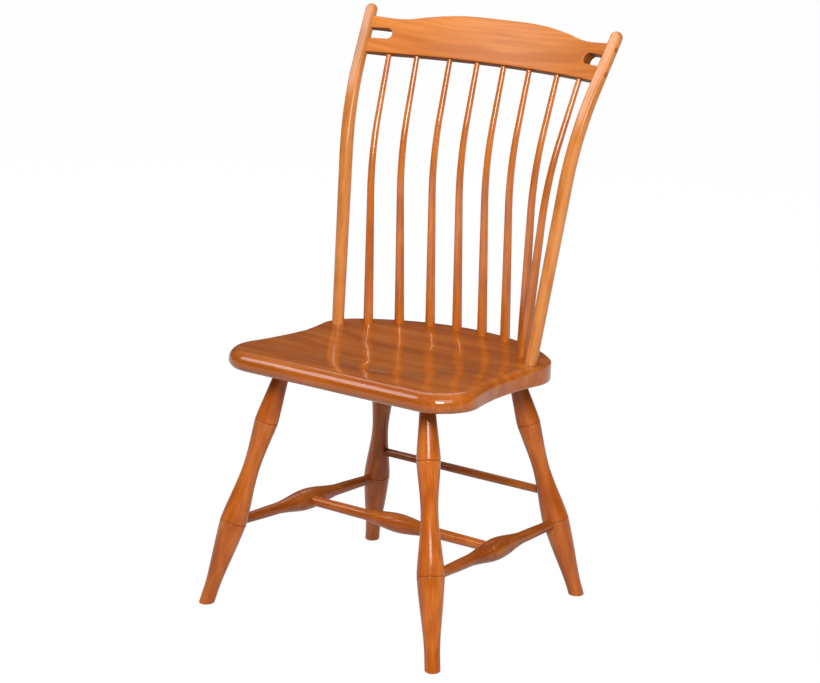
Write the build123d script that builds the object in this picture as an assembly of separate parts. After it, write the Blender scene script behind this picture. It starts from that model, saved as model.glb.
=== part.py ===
from build123d import *
from math import asin, atan2, cos, degrees, radians, sin, sqrt, tan
import os

# Wooden side chair with a bent spindle back. Millimetres, +Z up, the chair faces -Y.
# The origin is on the floor, in the middle of the chair's overall length and width.

# Fit between glued pieces
glue_gap = 0.1

# Seat
seat_height = 448.5
seat_fall = radians(1.9)
seat_thickness = 33.0
seat_round = 9.0
seat_front = 206.0
seat_back = 220.0
seat_wing = (252.5, -137.0)
seat_waist = (231.5, 6.0)
seat_lobe = (237.5, 82.0)
lobe_radius = 76.0
seat_glue_places = [-96.0, -20.0, 56.0, 101.0]
dish_depth = 8.0
dish_width = 330.0
dish_place = -8.0

# Legs, all four from one turning: place under the seat and on the floor, by right side
leg_places = {"front": ((155.1, -130.5), (248.9, -233.2)), "back": ((140.3, 132.8), (231.3, 206.5))}
leg_tenon = 22.0
leg_neck = 7.0
leg_neck_slope = 0.05
leg_top_radius = 13.2
leg_upper_ring = 98.0
leg_upper_radius = 20.5
leg_waist = 181.0
leg_waist_radius = 14.7
leg_lower_ring = 290.0
leg_lower_radius = 23.5
leg_ring_slope = 0.06
leg_taper_middle = 350.0
leg_taper_radius = 18.2
leg_taper_slope = -0.105
leg_taper_end = 418.0
foot_radius = 13.2
foot_chamfer = 1.2

# Scored rings on the turned pieces
score_width = 2.2
score_depth = 0.9

# Stretchers
side_height_front = 144.8
side_height_back = 134.2
side_end_radius = 8.9
side_neck_radius = 10.3
side_middle_radius = 19.2
side_swell = 85.0
side_score_spread = 25.0
centre_end_radius = 9.0
centre_neck_radius = 9.6
centre_middle_radius = 17.0
centre_swell = 82.0
rear_height = 190.5
rear_end_radius = 7.2
rear_middle_radius = 7.6

# Posts and spindles bend in upright planes that fan out from a line this far in front of the crest
fan_radius = 2700.0

# Back posts: base placed from the side of the seat's lobe, top placed from the crest rail
post_inset = 26.4
post_spread = 262.3
post_over_crest = 68.5
post_behind_crest = 7.5
post_straight = 306.0
post_bend = 508.0
post_turn = radians(19.0)
post_tenon = 22.0
post_base_radius = 10.8
post_middle_radius = 12.0
post_top_radius = 10.8
shave_start = 250.0
shave_middle = 400.0
shave_middle_left = 8.6
shave_top_left = 6.6

# Crest rail
crest_low = 917.5
crest_place = 236.0
crest_lean = radians(31.0)
crest_bend = 785.0
crest_thickness = 19.0
crest_middle_height = 71.0
crest_shape = [(102.0, 69.0), (150.0, 63.5), (186.0, 58.0)]
crest_end_height = 61.0
slot_length = 56.3
slot_height = 31.8
slot_width = 19.6
crest_tenon_thickness = 8.0
crest_tenon_setback = 3.0
crest_tenon_shoulder = 3.0
crest_tenon_stop = 1.5

# Spindles: base placed across the seat and in from its back edge, top placed across the rail
spindle_bases = [(27.6, 28.2), (82.6, 35.0), (135.0, 57.3), (170.6, 102.0)]
spindle_end_gap = 60.0
spindle_next_gap = 52.8
spindle_outer_top = post_spread - spindle_end_gap
spindle_tops = [28.2, 84.7, spindle_outer_top - spindle_next_gap, spindle_outer_top]
spindle_straight = 235.0
spindle_bend = 504.0
spindle_turn = radians(16.0)
spindle_base_radius = 9.0
spindle_middle_radius = 6.6
spindle_top_radius = 4.8
spindle_base_tenon = 20.0
spindle_top_tenon = 15.0

# Screws through the posts into the crest rail, and their plugs
screw_shank_radius = 2.1
screw_head_radius = 4.1
screw_head_height = 2.6
screw_length = 38.0
plug_radius = 4.8
plug_length = 5.0

side_names = {1: "right", -1: "left"}
parts = {}


def beside(solid, side):
    """The right-hand solid itself, or its mirror image for the left side."""
    return solid if side > 0 else mirror(solid, about=Plane.YZ)


def seat_top(x, y):
    """Point on the top of the seat blank above a place in plan."""
    return Vector(x, y, seat_height - y * tan(seat_fall))


def rod(start, direction, radius, length, before=0.0):
    """Round bar from a point along a direction, begun a little before the point."""
    place = Plane(origin=start - direction * before, z_dir=direction)
    return place * Cylinder(radius, length + before, align=(Align.CENTER, Align.CENTER, Align.MIN))


def turning(stations):
    """Solid turned about Z from stations of distance, radius, and slope before and after."""
    edges = []
    for (z0, r0, _, m0), (z1, r1, m1, _) in zip(stations, stations[1:]):
        if r0 == r1:
            edges.append(Line((r0, z0), (r1, z1)))
        else:
            third = (z1 - z0) / 3
            edges.append(Bezier((r0, z0), (r0 + m0 * third, z0 + third), (r1 - m1 * third, z1 - third), (r1, z1)))
    first, last = stations[0], stations[-1]
    edges.append(Polyline((last[1], last[0]), (0, last[0]), (0, first[0]), (first[1], first[0])))
    return revolve(Plane.XZ * make_face(edges), Axis.Z)


def score(distance, radius):
    """Ring with a V section that cuts a scored line round a turned piece."""
    outer = radius + score_depth
    cut = Polyline((radius - score_depth, distance), (outer, distance - score_width),
                   (outer, distance + score_width), close=True)
    return revolve(Plane.XZ * make_face(cut), Axis.Z)


class Bent:
    """Stick that runs straight from its base, bends back in one plane, and runs straight to its top."""

    def __init__(self, base, top, straight, radius, turn):
        back = Vector(top.X / fan_radius, 1, 0).normalized()
        run = top - base
        depth = run.dot(back)
        rise = run - back * depth
        self.frame = Plane(origin=base, x_dir=back, z_dir=back.cross(rise))
        self.straight, self.radius = straight, radius
        self.bend_end = straight + radius * turn
        tangent = radius * tan(turn / 2)
        low = straight + tangent
        high = sqrt(run.length ** 2 - (low * sin(turn)) ** 2) - low * cos(turn)
        self.lean = atan2(depth, rise.length) - asin(high * sin(turn) / run.length)
        self.length = self.bend_end + high - tangent

    def angle(self, s):
        """Backward lean of the axis at a distance from the base."""
        return self.lean + (min(max(s, self.straight), self.bend_end) - self.straight) / self.radius

    def local(self, s, front=0.0):
        """Place in the plane of the bend, at a distance in front of the axis."""
        low, high = min(s, self.straight), max(0.0, s - self.bend_end)
        end = self.angle(s)
        x = low * sin(self.lean) + self.radius * (cos(self.lean) - cos(end)) + high * sin(end)
        y = low * cos(self.lean) + self.radius * (sin(end) - sin(self.lean)) + high * cos(end)
        return (x - front * cos(end), y + front * sin(end))

    def point(self, s):
        return self.frame.from_local_coords(Vector(*self.local(s), 0))

    def heading(self, s):
        end = self.angle(s)
        return self.frame.x_dir * sin(end) + self.frame.y_dir * cos(end)

    def section(self, s):
        """Plane square to the axis."""
        return Plane(origin=self.point(s), x_dir=self.frame.z_dir, z_dir=self.heading(s))

    def body(self, base_radius, middle_radius, top_radius):
        """Solid that tapers from the base to the bend and from the bend to the top."""
        taper = (top_radius - middle_radius) / (self.length - self.straight)
        count = 6
        rounds = []
        for i in range(count):
            s = self.straight + i / (count - 1) * (self.bend_end - self.straight)
            rounds.append(self.section(s) * Circle(middle_radius + taper * (s - self.straight)))
        bend_radius = middle_radius + taper * (self.bend_end - self.straight)
        upright = (Align.CENTER, Align.CENTER, Align.MIN)
        low = self.section(0) * Cone(base_radius, middle_radius, self.straight, align=upright)
        high = self.section(self.bend_end) * Cone(bend_radius, top_radius, self.length - self.bend_end, align=upright)
        return low + loft(rounds) + high


def arc(centre, start, finish):
    """Shorter arc about a centre between two points."""
    start, finish = Vector(*start), Vector(*finish)
    middle = centre + ((start - centre) + (finish - centre)).normalized() * (start - centre).length
    return ThreePointArc(start, middle, finish)


# Seat blank, still in one piece; its outline is a straight front and arcs tangent to each other
seat_plane = Plane(origin=(0, 0, seat_height), x_dir=(1, 0, 0), z_dir=(0, sin(seat_fall), cos(seat_fall)))
wing_radius = seat_front + seat_wing[1]
wing_centre = Vector(seat_wing[0] - wing_radius, seat_wing[1])
dx, dy = seat_waist[0] - wing_centre.X, seat_waist[1] - wing_centre.Y
hollow_radius = (dx ** 2 + dy ** 2 - wing_radius ** 2) / (2 * (wing_radius - dx))
hollow_centre = Vector(seat_waist[0] + hollow_radius, seat_waist[1])
dx, dy = seat_lobe[0] - seat_waist[0], seat_lobe[1] - seat_waist[1]
waist_radius = (dx ** 2 + dy ** 2) / (2 * dx) - lobe_radius
waist_centre = Vector(seat_waist[0] + waist_radius, seat_waist[1])
lobe_centre = Vector(seat_lobe[0] - lobe_radius, seat_lobe[1])
dy = lobe_centre.Y - seat_back
back_radius = -(lobe_centre.X ** 2 + dy ** 2 - lobe_radius ** 2) / (2 * (dy + lobe_radius))
back_centre = Vector(0, seat_back - back_radius)
corner = (wing_centre.X, -seat_front)
wing_end = wing_centre + (hollow_centre - wing_centre).normalized() * wing_radius
lobe_start = lobe_centre + (waist_centre - lobe_centre).normalized() * lobe_radius
lobe_end = back_centre + (lobe_centre - back_centre).normalized() * back_radius
half_edge = [Line((0, -seat_front), corner), arc(wing_centre, corner, wing_end),
             arc(hollow_centre, wing_end, seat_waist), arc(waist_centre, seat_waist, lobe_start),
             arc(lobe_centre, lobe_start, lobe_end), arc(back_centre, lobe_end, (0, seat_back))]
seat_edge = half_edge + [mirror(edge, about=Plane.YZ) for edge in half_edge]
seat = extrude(make_face(seat_edge), -seat_thickness)
rims = seat.faces().sort_by(Axis.Z)
seat = fillet(rims[0].edges() + rims[-1].edges(), seat_round)
dish_radius = ((dish_width / 2) ** 2 + dish_depth ** 2) / (2 * dish_depth)
seat = seat - Pos(0, dish_place, dish_radius - dish_depth) * Rot(90, 0, 0) * Sphere(dish_radius)
seat = seat_plane * seat
seat_under = seat_height - seat_thickness / cos(seat_fall)

# Legs: axis from the underside of the seat to the floor
leg_axes = {}
for end, (top, foot) in leg_places.items():
    upper = Vector(top[0], top[1], seat_under - top[1] * tan(seat_fall))
    lower = Vector(foot[0], foot[1], 0)
    leg_axes[end] = (upper, lower)


def on_leg(end, height):
    """Point on a right-hand leg's axis at a height above the floor."""
    upper, lower = leg_axes[end]
    return lower + (upper - lower) * (height / upper.Z)


legs = {}
for end, (upper, lower) in leg_axes.items():
    down = (lower - upper).normalized()
    blank = turning([(-leg_tenon, leg_top_radius, 0, 0), (leg_neck, leg_top_radius, 0, leg_neck_slope),
                     (leg_upper_ring, leg_upper_radius, leg_ring_slope, -leg_ring_slope),
                     (leg_waist, leg_waist_radius, 0, 0),
                     (leg_lower_ring, leg_lower_radius, leg_ring_slope, -leg_ring_slope),
                     (leg_taper_middle, leg_taper_radius, leg_taper_slope, leg_taper_slope),
                     (leg_taper_end, foot_radius, 0, 0), (leg_taper_end + seat_height, foot_radius, 0, 0)])
    blank = blank - score(leg_upper_ring, leg_upper_radius) - score(leg_lower_ring, leg_lower_radius)
    leg = split(Plane(origin=upper, z_dir=down) * blank, bisect_by=Plane.XY, keep=Keep.TOP)
    legs[end] = chamfer(leg.faces().sort_by(Axis.Z)[0].edges(), foot_chamfer)
    for side in (1, -1):
        seat = seat - beside(rod(upper, -down, leg_top_radius + glue_gap, leg_tenon + glue_gap, leg_top_radius), side)


def stretcher(start, finish, straight, end_radius, swell, spread=0.0):
    """Turned bar between two axes, with a pair of scored rings if spread.

    The swell gives places from the middle out, with the radius at each.
    """
    half = (finish - start).length / 2
    left = [(0, end_radius), (straight, end_radius)] + [(half - away, radius) for away, radius in reversed(swell)]
    right = [(2 * half - place, radius) for place, radius in reversed(left[:-1])]
    bar = turning([(place, radius, 0, 0) for place, radius in left + right])
    if spread:
        (_, middle), (away, neck) = swell
        t = 1 - spread / away
        radius = neck + (middle - neck) * (3 * t ** 2 - 2 * t ** 3)
        bar = bar - score(half - spread, radius) - score(half + spread, radius)
    return Plane(origin=start, z_dir=finish - start) * bar


# Side stretchers, and the sockets for them in the legs
side_front = on_leg("front", side_height_front)
side_back = on_leg("back", side_height_back)
side_way = (side_back - side_front).normalized()
side_bar = stretcher(side_front, side_back, leg_lower_radius, side_end_radius,
                     [(0, side_middle_radius), (side_swell, side_neck_radius)], side_score_spread)
socket_reach = 2 * leg_lower_radius
legs["front"] = legs["front"] - rod(side_front, side_way, side_end_radius + glue_gap, socket_reach, glue_gap)
legs["back"] = legs["back"] - rod(side_back, -side_way, side_end_radius + glue_gap, socket_reach, glue_gap)

# Rear stretcher
rear_right = on_leg("back", rear_height)
rear_left = Vector(-rear_right.X, rear_right.Y, rear_right.Z)
parts["rear_stretcher"] = stretcher(rear_left, rear_right, leg_lower_radius, rear_end_radius,
                                    [(0, rear_middle_radius)])
legs["back"] = legs["back"] - rod(rear_right, Vector(-1, 0, 0), rear_end_radius + glue_gap, socket_reach, glue_gap)

# Centre stretcher
centre_right = (side_front + side_back) * 0.5
centre_left = Vector(-centre_right.X, centre_right.Y, centre_right.Z)
parts["centre_stretcher"] = stretcher(centre_left, centre_right, side_middle_radius, centre_end_radius,
                                      [(0, centre_middle_radius), (centre_swell, centre_neck_radius)])
side_bar = side_bar - rod(centre_right, Vector(-1, 0, 0), centre_end_radius + glue_gap, socket_reach, glue_gap)

# Crest rail: a bent board that leans back; heights are given on its front face
crest_up = Vector(0, sin(crest_lean), cos(crest_lean))
crest_through = Vector(0, cos(crest_lean), -sin(crest_lean))
crest_plane = Plane(origin=(0, crest_place, crest_low), x_dir=(1, 0, 0), z_dir=-crest_through)


def crest_sag(x):
    """How far the front face stands forward of its middle."""
    return crest_bend - sqrt(crest_bend ** 2 - x ** 2)


def crest_point(x, height):
    """Place on the flat of the board for a height above the lower edge."""
    return (x, height / cos(crest_lean) - crest_sag(x) * sin(crest_lean))


def crest_slab(setback, thickness):
    """Bent slab behind the front face, wide and high enough to cut the rail from."""
    below = 2 * crest_middle_height
    inner = crest_bend + setback / cos(crest_lean)
    outer = inner + thickness / cos(crest_lean)
    spread = degrees(asin((post_spread + 2 * crest_thickness) / crest_bend))
    centre = (0, crest_place - crest_bend - below * tan(crest_lean))
    arcs = [CenterArc(centre, inner, 90 - spread, 2 * spread), CenterArc(centre, outer, 90 - spread, 2 * spread)]
    ends = [Line(arcs[0] @ 0, arcs[1] @ 0), Line(arcs[0] @ 1, arcs[1] @ 1)]
    face = Pos(0, 0, crest_low - below) * make_face(arcs + ends)
    return extrude(face, 2 * below / cos(crest_lean), dir=crest_up)


def crest_outline(inset):
    """Elevation of the rail, drawn in by an inset at the slots and at the edges of its arms."""
    low = [crest_point(x, 0) for x in (-post_spread, 0, post_spread)]
    ends = [(0, crest_middle_height)] + crest_shape + [(post_spread, crest_end_height)]
    right = [crest_point(x, z) for x, z in ends]
    high = [(-x, w) for x, w in reversed(right[1:])] + right
    top = Spline([(x, w - inset) for x, w in high])
    bottom = ThreePointArc(*[(x, w + inset) for x, w in low])
    face = make_face([top, bottom, Line(top @ 0, bottom @ 0), Line(top @ 1, bottom @ 1)])
    start = crest_point(post_spread - slot_length + slot_width / 2, slot_height)
    finish = crest_point(post_spread + slot_width, slot_height)
    slot = SlotCenterPoint(finish, start, slot_width + 2 * inset)
    return crest_plane * (face - slot - mirror(slot, about=Plane.YZ))


crest_board = crest_slab(0, crest_thickness) & extrude(crest_outline(0), 2 * post_spread, both=True)

# Back posts, with the front shaved flat toward the domed top
post_base = seat_top(seat_lobe[0] - post_inset, seat_lobe[1])
post_back = crest_place + post_over_crest * tan(crest_lean) - crest_sag(post_spread) + post_behind_crest
post_top = Vector(post_spread, post_back, crest_low + post_over_crest)
post = Bent(post_base, post_top, post_straight, post_bend, post_turn)


def post_blank(extra):
    """Post above the seat, grown all round by an extra."""
    solid = post.body(post_base_radius + extra, post_middle_radius + extra, post_top_radius + extra)
    solid = solid + post.section(post.length) * Sphere(post_top_radius + extra)
    far = post.length + post_top_radius
    low = post.local(shave_start, post_middle_radius + extra)
    middle = post.local(shave_middle, shave_middle_left + extra)
    high = post.local(far, shave_top_left + extra)
    clear = 4 * post_middle_radius
    cut = [ThreePointArc(low, middle, high),
           Polyline(high, post.local(far, clear), post.local(shave_start, clear), low)]
    return solid - post.frame * extrude(make_face(cut), clear, both=True)


post_solid = post_blank(0)
cheek = Plane(origin=post.frame.origin, x_dir=post.frame.x_dir, z_dir=post.frame.z_dir)
tenon_stop = cheek.offset(-crest_tenon_stop)
crest_right = split(crest_board, bisect_by=cheek, keep=Keep.BOTTOM) - post_blank(glue_gap)
crest_both = crest_right & mirror(crest_right, about=Plane.YZ)


def crest_tenons(extra):
    """Stub tenons of the right-hand arms, or the mortises for them if grown by an extra."""
    slab = crest_slab(crest_tenon_setback - extra, crest_tenon_thickness + 2 * extra)
    arms = slab & extrude(crest_outline(crest_tenon_shoulder - extra), 2 * post_spread, both=True)
    arms = split(arms, bisect_by=tenon_stop.offset(extra), keep=Keep.BOTTOM)
    return split(arms, bisect_by=cheek.offset(-3 * post_middle_radius), keep=Keep.TOP)


tenons = crest_tenons(0) & post_blank(2 * glue_gap)
for side in (1, -1):
    crest_both = crest_both + beside(tenons, side)
post_solid = post_solid - crest_tenons(glue_gap)

base_way = post.heading(0)
post_solid = post_solid + rod(post.point(0), -base_way, post_base_radius, post_tenon)
for side in (1, -1):
    socket = rod(post.point(0), -base_way, post_base_radius + glue_gap, post_tenon + glue_gap, post_base_radius)
    seat = seat - beside(socket, side)

# Spindles
spindles = []
for (across, inset), x in zip(spindle_bases, spindle_tops):
    base = seat_top(across, seat_back - inset)
    w = crest_point(x, 0)[1]
    back = crest_thickness / 2 - crest_sag(x) * cos(crest_lean)
    top = Vector(x, crest_place, crest_low) + crest_up * w + crest_through * back
    bent = Bent(base, top, spindle_straight, spindle_bend, spindle_turn)
    spindle = bent.body(spindle_base_radius, spindle_middle_radius, spindle_top_radius)
    foot_way, head_way = bent.heading(0), bent.heading(bent.length)
    spindle = spindle + rod(base, -foot_way, spindle_base_radius, spindle_base_tenon)
    spindle = spindle + rod(top, head_way, spindle_top_radius, spindle_top_tenon)
    foot_hole = rod(base, -foot_way, spindle_base_radius + glue_gap, spindle_base_tenon + glue_gap, dish_depth)
    head_hole = rod(top, head_way, spindle_top_radius + glue_gap, spindle_top_tenon + glue_gap, crest_thickness)
    spindles.append(spindle)
    for side in (1, -1):
        seat = seat - beside(foot_hole, side)
        crest_both = crest_both - beside(head_hole, side)

# Screws from the outer side of each post into the arms of the crest rail, with plugs over the heads
slot_edges = [slot_height - slot_width / 2 * cos(crest_lean), slot_height + slot_width / 2 * cos(crest_lean)]
arm_middles = [slot_edges[0] / 2, (slot_edges[1] + crest_end_height) / 2]
screws, plugs = [], []
post_outside = post_blank(0)
for height in arm_middles:
    z = crest_low + height
    x = post.point(post.length - (post_top.Z - z) / post.heading(post.length).Z).X
    y = crest_place + height * tan(crest_lean) - crest_sag(x)
    middle = Vector(x, y, z) + crest_through * (crest_tenon_setback + crest_tenon_thickness / 2)
    inward = Vector(-sqrt(crest_bend ** 2 - x ** 2), x, 0).normalized()
    floor = middle - inward * (post_top_radius - plug_length - screw_head_height)
    screw = rod(floor, inward, screw_shank_radius, screw_length - screw_head_height)
    screw = screw + rod(floor, -inward, screw_head_radius, screw_head_height)
    plug = rod(floor - inward * (screw_head_height + glue_gap), -inward, plug_radius, 2 * post_top_radius)
    hole = rod(floor, inward, screw_shank_radius + glue_gap, screw_length - screw_head_height + glue_gap)
    bore = rod(floor, -inward, plug_radius + glue_gap, 3 * post_top_radius)
    screws.append(screw)
    plugs.append(plug & post_outside)
    post_solid = post_solid - hole - bore
    for side in (1, -1):
        crest_both = crest_both - beside(hole, side)

# Everything by name
for side, name in side_names.items():
    for end, leg in legs.items():
        parts[f"leg_{end}_{name}"] = beside(leg, side)
    parts[f"side_stretcher_{name}"] = beside(side_bar, side)
    parts[f"back_post_{name}"] = beside(post_solid, side)
parts["crest_rail"] = crest_both
for i, spindle in enumerate(spindles):
    parts[f"spindle_{len(spindles) + 1 + i}"] = spindle
    parts[f"spindle_{len(spindles) - i}"] = beside(spindle, -1)
parts["crest_screws"] = Compound([beside(screw, side).solid() for screw in screws for side in (1, -1)])
parts["crest_screw_plugs"] = Compound([beside(plug, side).solid() for plug in plugs for side in (1, -1)])
rest = seat
for i, place in enumerate(seat_glue_places):
    joint = Plane(origin=seat_top(0, place), x_dir=(1, 0, 0), z_dir=seat_plane.y_dir)
    parts[f"seat_board_{i + 1}"] = split(rest, bisect_by=joint, keep=Keep.BOTTOM)
    rest = split(rest, bisect_by=joint, keep=Keep.TOP)
parts[f"seat_board_{len(seat_glue_places) + 1}"] = rest

# The middle of the chair's overall length goes to the origin
low = min(part.bounding_box().min.Y for part in parts.values())
high = max(part.bounding_box().max.Y for part in parts.values())
os.makedirs("parts", exist_ok=True)
for name, part in parts.items():
    export_step(Pos(0, -(low + high) / 2, 0) * part, f"parts/{name}.step")
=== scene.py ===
"""Stained side chair with a bent spindle back, shown in a plain studio.

Sizes are millimetres, as a chair maker writes them, and become metres when a mesh is made.
The chair faces -Y, +X is to the right of someone facing it, and the floor is at Z = 0.
"""
import logging
import math
from dataclasses import dataclass, field
from enum import Enum
from typing import Any, Callable, Optional, Sequence

import bmesh
import bpy
import numpy as np
from mathutils import Matrix, Vector
from mathutils.geometry import delaunay_2d_cdt


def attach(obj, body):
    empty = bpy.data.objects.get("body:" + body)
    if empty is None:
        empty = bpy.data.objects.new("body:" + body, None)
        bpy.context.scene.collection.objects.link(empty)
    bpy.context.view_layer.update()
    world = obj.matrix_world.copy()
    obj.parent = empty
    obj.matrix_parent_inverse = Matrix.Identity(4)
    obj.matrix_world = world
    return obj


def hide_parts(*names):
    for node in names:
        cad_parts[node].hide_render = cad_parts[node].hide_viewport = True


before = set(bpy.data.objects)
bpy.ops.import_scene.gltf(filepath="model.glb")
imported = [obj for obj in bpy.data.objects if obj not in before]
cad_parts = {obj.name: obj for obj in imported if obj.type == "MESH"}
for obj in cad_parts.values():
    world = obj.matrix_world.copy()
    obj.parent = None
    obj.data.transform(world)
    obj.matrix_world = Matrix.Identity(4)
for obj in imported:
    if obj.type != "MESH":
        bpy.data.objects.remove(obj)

MM = 0.001
BODY = "root"
# The sizes are set out from the middle of the seat; the row's origin lies this far behind it.
ROW_SHIFT = np.array([0.0, -24.221, 0.0])
UP = np.array([0.0, 0.0, 1.0])
BACKWARD = np.array([0.0, 1.0, 0.0])
Pair = tuple[float, float]
Triple = tuple[float, float, float]
Numbers = float | np.ndarray
# An axis that rises more steeply than this share of its length counts as upright.
UPRIGHT = 0.7
# Stands in for 0 where a sum divides
TINY = 1e-9
# What the triangulation is asked for
INSIDE_LOOP = 1
# Values that only the node trees work with
WORKING_VALUES = ("middle", "side", "front", "along", "thick", "left", "level", "turn", "outward", "upward")

log = logging.getLogger("side_chair")


class Slot(Enum):
    """Material slots of the record."""

    SEAT = "seat_wood"
    TURNED = "turned_wood"
    BACK = "back_wood"
    CREST = "crest_wood"
    PLUG = "plug_wood"


class Side(Enum):
    """Side of the chair, as the sign of X."""

    RIGHT = 1
    LEFT = -1

    @property
    def word(self) -> str:
        """Name of the side as it stands in the names of the pieces."""
        return self.name.lower()


def linear(colour: str) -> tuple[float, float, float, float]:
    """Turn an sRGB hex colour into linear values.

    Args:
        colour: Six hex digits after a hash sign.

    Returns:
        Red, green, blue and an alpha of 1.
    """
    parts = [int(colour[i:i + 2], 16) / 255 for i in (1, 3, 5)]
    red, green, blue = (c / 12.92 if c <= 0.04045 else ((c + 0.055) / 1.055) ** 2.4 for c in parts)
    return red, green, blue, 1.0


def add(tree: bpy.types.NodeTree, kind: str, feeds: Optional[dict[Any, Any]] = None,
        **settings: Any) -> bpy.types.Node:
    """Add a node with its settings and links.

    Args:
        tree: Tree that takes the node.
        kind: Node type.
        feeds: Values, sockets or nodes by the name or the number of an input. A node gives its first output.
        settings: Properties of the node.

    Returns:
        The new node.
    """
    node = tree.nodes.new(kind)
    for name, value in settings.items():
        setattr(node, name, value)
    for key, value in (feeds or {}).items():
        if isinstance(value, bpy.types.Node):
            value = value.outputs[0]
        if isinstance(value, bpy.types.NodeSocket):
            tree.links.new(value, node.inputs[key])
        else:
            node.inputs[key].default_value = value
    return node


def unit(vector: np.ndarray) -> np.ndarray:
    """Vector of length 1 in the same direction."""
    return vector / np.linalg.norm(vector)


def smooth(value: np.ndarray) -> np.ndarray:
    """Ease from 0 to 1 with level ends, held at both."""
    t = np.clip(value, 0.0, 1.0)
    return t * t * (3 - 2 * t)


def eased(t: Numbers, first: Numbers, first_slope: Numbers, last: Numbers, last_slope: Numbers) -> Numbers:
    """Smooth curve between two heights, with a set slope at each.

    Args:
        t: Share of the way, from 0 to 1.
        first: Height at the start.
        first_slope: Slope at the start, times the length of the span.
        last: Height at the end.
        last_slope: Slope at the end, times the length of the span.

    Returns:
        Height on the curve.
    """
    return (first * (1 + 2 * t) * (1 - t) ** 2 + first_slope * t * (1 - t) ** 2
            + last * t * t * (3 - 2 * t) - last_slope * t * t * (1 - t))


def put(name: str, data: bpy.types.ID) -> bpy.types.Object:
    """Make an object in the scene.

    Args:
        name: Name of the object.
        data: Its mesh, lamp or camera.

    Returns:
        The object, at the origin.
    """
    made = bpy.data.objects.new(name, data)
    bpy.context.scene.collection.objects.link(made)
    return made


def store(mesh: bpy.types.Mesh, word: str, values: np.ndarray) -> None:
    """Keep a number or a direction with each vertex of a mesh.

    Args:
        mesh: Mesh that keeps them.
        word: Name that they are kept under.
        values: One number or three for each vertex.
    """
    kind, part = ("FLOAT_VECTOR", "vector") if values.ndim == 2 else ("FLOAT", "value")
    mesh.attributes.new(word, kind, "POINT").data.foreach_set(part, values.ravel())


def bare_material(name: str) -> bpy.types.Material:
    """Start a material.

    Args:
        name: Name of the material.

    Returns:
        The material, with an empty node tree.
    """
    made = bpy.data.materials.new(name)
    made.use_nodes = True
    made.node_tree.nodes.clear()
    return made


def bare_tree(name: str, inputs: dict[str, str], output: str) -> bpy.types.NodeTree:
    """Start a tree of geometry nodes.

    Args:
        name: Name of the tree.
        inputs: Kind of socket of each named input.
        output: Name of the geometry that comes out.

    Returns:
        The tree, with its sockets and no nodes.
    """
    tree = bpy.data.node_groups.new(name, "GeometryNodeTree")
    for word, kind in inputs.items():
        tree.interface.new_socket(word, in_out="INPUT", socket_type=f"NodeSocket{kind}")
    tree.interface.new_socket(output, in_out="OUTPUT", socket_type="NodeSocketGeometry")
    return tree


def grow(name: str, start: bpy.types.Mesh, tree: bpy.types.NodeTree,
         values: dict[str, Any]) -> bpy.types.Object:
    """Make a piece with geometry nodes, and keep their result as its plain mesh.

    Args:
        name: Name of the piece.
        start: Mesh that the nodes start from.
        tree: Tree of geometry nodes.
        values: What each named input is set to.

    Returns:
        The piece, with no modifier left.
    """
    piece = put(name, start)
    modifier = piece.modifiers.new("making", "NODES")
    modifier.node_group = tree
    for socket in tree.interface.items_tree:
        if socket.name in values:
            modifier[socket.identifier] = values[socket.name]
    graph = bpy.context.evaluated_depsgraph_get()
    made = bpy.data.meshes.new_from_object(piece.evaluated_get(graph), preserve_all_data_layers=True,
                                           depsgraph=graph)
    piece.modifiers.clear()
    piece.data = made
    made.name = name
    for word in WORKING_VALUES:
        if word in made.attributes:
            made.attributes.remove(made.attributes[word])
    return piece


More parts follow.
